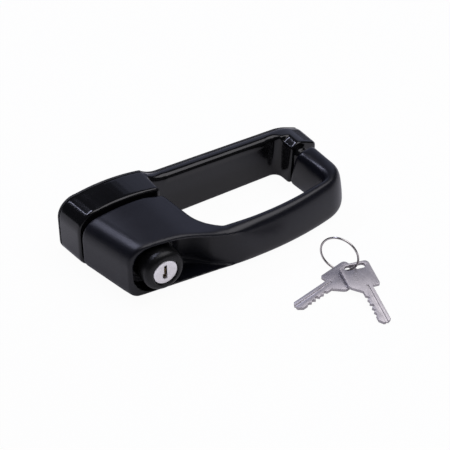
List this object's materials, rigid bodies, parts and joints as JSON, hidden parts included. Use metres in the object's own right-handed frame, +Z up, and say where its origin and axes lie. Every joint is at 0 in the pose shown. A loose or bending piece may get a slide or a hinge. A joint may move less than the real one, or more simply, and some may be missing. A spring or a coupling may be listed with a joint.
{
  "type": "push-button door handle",
  "caption": "Lockable cab door handle: a base bolted through the door, a bowed grip on necks, a keyed push button in a thumb pocket and loose keys on a ring.",
  "frame": {"origin": "midway between the two door bolts, on the gasket face that seats on the door", "axes": "+X along the handle from the lock to the far end, +Y into the door, +Z up"},
  "size_m": [0.1742, 0.1602, 0.0394],
  "materials": {
    "base_plastic": "moulded, glossy black",
    "grip_plastic": "moulded, satin blue-black",
    "button_plastic": "moulded, satin black",
    "gasket_rubber": "moulded rubber",
    "bush_black": "turned acetal",
    "bush_natural": "turned acetal",
    "zinc_steel": "zinc plated",
    "spring_steel": "drawn wire and spring steel",
    "brass": "turned",
    "plug_chrome": "satin chrome",
    "ring_steel": "polished wire",
    "key_nickel": "nickel plated, stamped"
  },
  "bodies": {
    "handle": {"base": "base_plastic", "door_gasket": "gasket_rubber", "grip": "grip_plastic", "guide_bush": "bush_black", "rod_bush": "bush_natural", "rod_seal": "gasket_rubber", "spring_seat": "zinc_steel", "threaded_inserts": "brass", "head_screws": "zinc_steel", "head_screw_washers": "zinc_steel", "ear_screw": "zinc_steel", "ear_screw_washer": "zinc_steel", "button_spring": "spring_steel"},
    "button": {"button_sleeve": "button_plastic", "lock_barrel": "zinc_steel", "barrel_clip": "spring_steel"},
    "plug": {"lock_plug": "plug_chrome", "plug_wafers": "brass", "plug_clip": "spring_steel", "push_rod": "zinc_steel", "rod_pin": "spring_steel"},
    "ring": {"key_ring": "ring_steel"},
    "upper_key": {"upper_key": "key_nickel"},
    "lower_key": {"lower_key": "key_nickel"}
  },
  "joints": [
    {"name": "button_press", "type": "slide", "parent": "handle", "child": "button", "axis": [0, 1, 0], "range_m": [0, 0.007], "stiffness_N_per_m": 900, "springref_m": -0.006, "deforming": ["button_spring"]},
    {"name": "plug_turn", "type": "hinge", "parent": "button", "child": "plug", "pos_m": [-0.075, -0.04, 0.0035], "axis": [0, 1, 0], "range_deg": [0, 90]},
    {"name": "keys_lift", "type": "slide", "parent": "handle", "child": "ring", "axis": [0, 0, 1], "range_m": [0, 0.04]},
    {"name": "upper_key_swing", "type": "hinge", "parent": "ring", "child": "upper_key", "pos_m": [0.02862, -0.11581, -0.01025], "axis": [0, 0, 1], "range_deg": [-10, 10]},
    {"name": "lower_key_swing", "type": "hinge", "parent": "ring", "child": "lower_key", "pos_m": [0.02699, -0.11309, -0.01358], "axis": [0, 0, 1], "range_deg": [-6, 10]}
  ]
}
